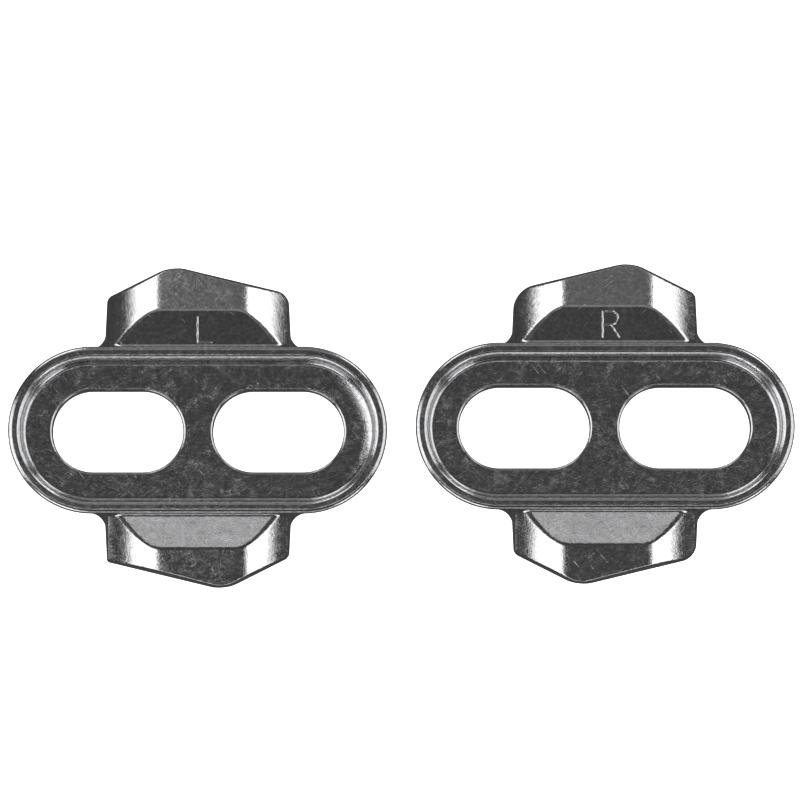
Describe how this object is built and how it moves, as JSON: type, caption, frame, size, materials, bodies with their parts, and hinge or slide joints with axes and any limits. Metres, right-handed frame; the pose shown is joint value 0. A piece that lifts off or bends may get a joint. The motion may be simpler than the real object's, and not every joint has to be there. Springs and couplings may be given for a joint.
{
  "type": "pair of shoe cleats for a clipless pedal",
  "caption": "Left and right steel shoe cleats for a clipless pedal: an oval dish with slotted bolt holes and hooked wings at front and back.",
  "frame": {"origin": "on the plane that the pair lies on, midway between the two cleats", "axes": "+X from the left cleat to the right cleat, +Y towards the shoes' toes, +Z from the sole towards the pedal"},
  "size_m": [0.0684, 0.0284, 0.0076],
  "materials": {
    "polished_steel": "investment-cast stainless steel, tumbled and polished bright, with fine scuffs"
  },
  "bodies": {
    "left": {"left_cleat": "polished_steel"},
    "right": {"right_cleat": "polished_steel"}
  },
  "joints": [
    {"name": "right_cleat_lift", "type": "slide", "parent": "left", "child": "right", "axis": [0, 0, 1], "range_m": [0, 0.05]}
  ]
}
